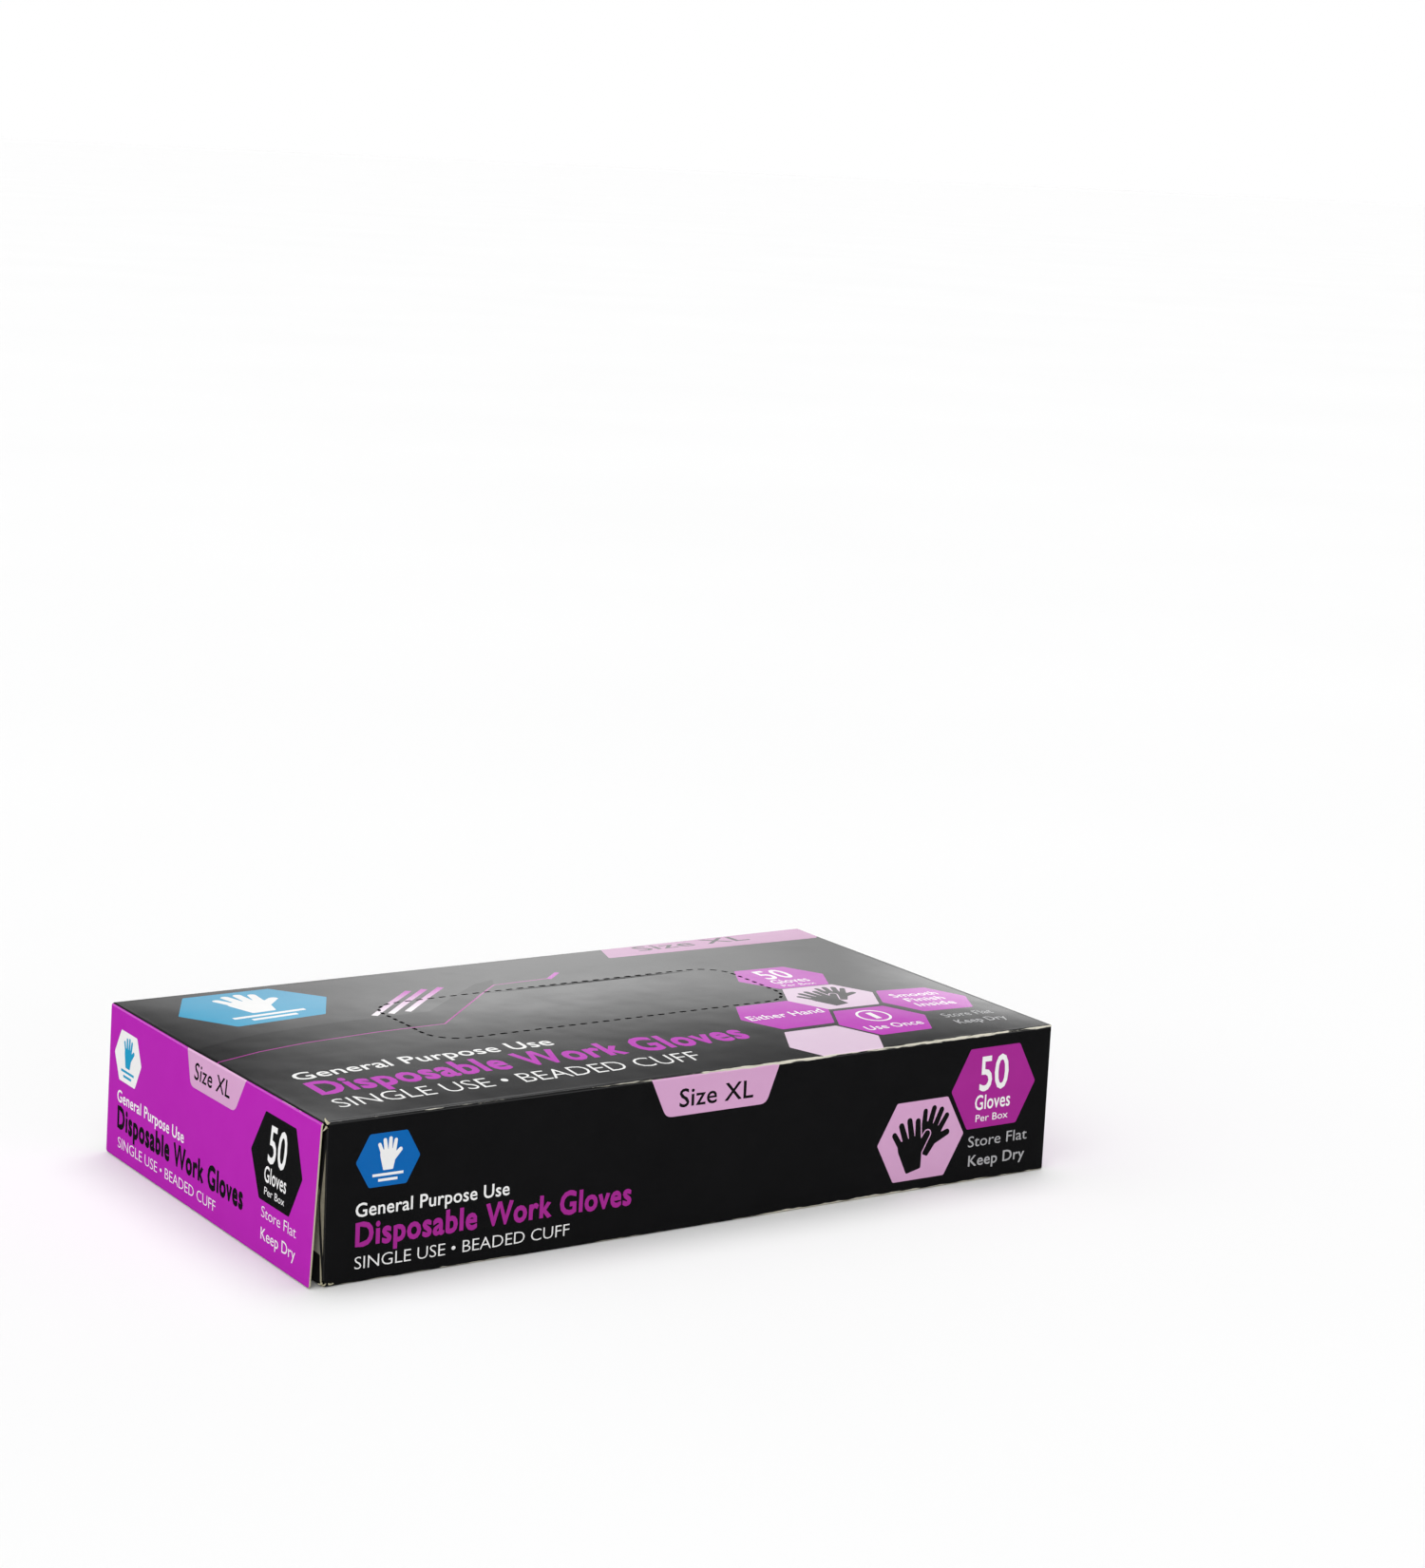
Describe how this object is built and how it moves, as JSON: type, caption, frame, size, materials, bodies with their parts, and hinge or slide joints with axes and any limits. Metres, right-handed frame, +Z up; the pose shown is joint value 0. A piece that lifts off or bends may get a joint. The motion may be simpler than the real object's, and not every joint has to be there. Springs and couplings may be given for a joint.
{
  "type": "glove dispenser carton",
  "caption": "Flat folded paperboard carton of disposable gloves, with a perforated tear-out window in its top and glued end flaps that open.",
  "frame": {"origin": "middle of the carton's footprint, on the surface it stands on", "axes": "+X along the carton's length towards its right end, front panel faces -Y, +Z up through the tear-out window"},
  "size_m": [0.24, 0.13, 0.0465],
  "materials": {
    "black_printed_board": "satin",
    "magenta_printed_board": "satin",
    "plain_board": "matte",
    "hot_melt_glue": "satin",
    "black_nitrile": "matte"
  },
  "bodies": {
    "carton": {"bottom_panel": "black_printed_board", "front_panel": "black_printed_board", "back_panel": "black_printed_board", "top_panel": "black_printed_board", "seam_flap": "plain_board", "seam_glue": "hot_melt_glue", "left_front_dust_flap": "plain_board", "left_rear_dust_flap": "plain_board", "right_front_dust_flap": "plain_board", "right_rear_dust_flap": "plain_board", "glove_pair_01": "black_nitrile", "glove_pair_02": "black_nitrile", "glove_pair_03": "black_nitrile", "glove_pair_04": "black_nitrile", "glove_pair_05": "black_nitrile", "glove_pair_06": "black_nitrile", "glove_pair_07": "black_nitrile", "glove_pair_08": "black_nitrile", "glove_pair_09": "black_nitrile", "glove_pair_10": "black_nitrile", "glove_pair_11": "black_nitrile", "glove_pair_12": "black_nitrile", "glove_pair_13": "black_nitrile", "glove_pair_14": "black_nitrile", "glove_pair_15": "black_nitrile", "glove_pair_16": "black_nitrile", "glove_pair_17": "black_nitrile", "glove_pair_18": "black_nitrile", "glove_pair_19": "black_nitrile", "glove_pair_20": "black_nitrile", "glove_pair_21": "black_nitrile", "glove_pair_22": "black_nitrile", "glove_pair_23": "black_nitrile", "glove_pair_24": "black_nitrile", "glove_pair_25": "black_nitrile"},
    "tear_out": {"tear_out_panel": "black_printed_board"},
    "left_outer": {"left_outer_flap": "magenta_printed_board"},
    "left_inner": {"left_inner_flap": "plain_board", "left_end_glue": "hot_melt_glue"},
    "right_outer": {"right_outer_flap": "magenta_printed_board"},
    "right_inner": {"right_inner_flap": "plain_board", "right_end_glue": "hot_melt_glue"}
  },
  "joints": [
    {"name": "tear_out_hinge", "type": "hinge", "parent": "carton", "child": "tear_out", "pos_m": [0.0015, 0.0264, 0.04609], "axis": [-1, 0, 0], "range_deg": [0, 150]},
    {"name": "left_outer_hinge", "type": "hinge", "parent": "carton", "child": "left_outer", "pos_m": [-0.12, 0, 0.044], "axis": [0, 1, 0], "range_deg": [0, 180]},
    {"name": "left_inner_hinge", "type": "hinge", "parent": "carton", "child": "left_inner", "pos_m": [-0.11865, 0, 0], "axis": [0, -1, 0], "range_deg": [0, 90]},
    {"name": "right_outer_hinge", "type": "hinge", "parent": "carton", "child": "right_outer", "pos_m": [0.12, 0, 0.044], "axis": [0, -1, 0], "range_deg": [0, 180]},
    {"name": "right_inner_hinge", "type": "hinge", "parent": "carton", "child": "right_inner", "pos_m": [0.11865, 0, 0], "axis": [0, 1, 0], "range_deg": [0, 90]}
  ],
  "couplings": [
    {"joint": "left_inner_hinge", "follows": "left_outer_hinge", "ratio": 0.5},
    {"joint": "right_inner_hinge", "follows": "right_outer_hinge", "ratio": 0.5}
  ]
}
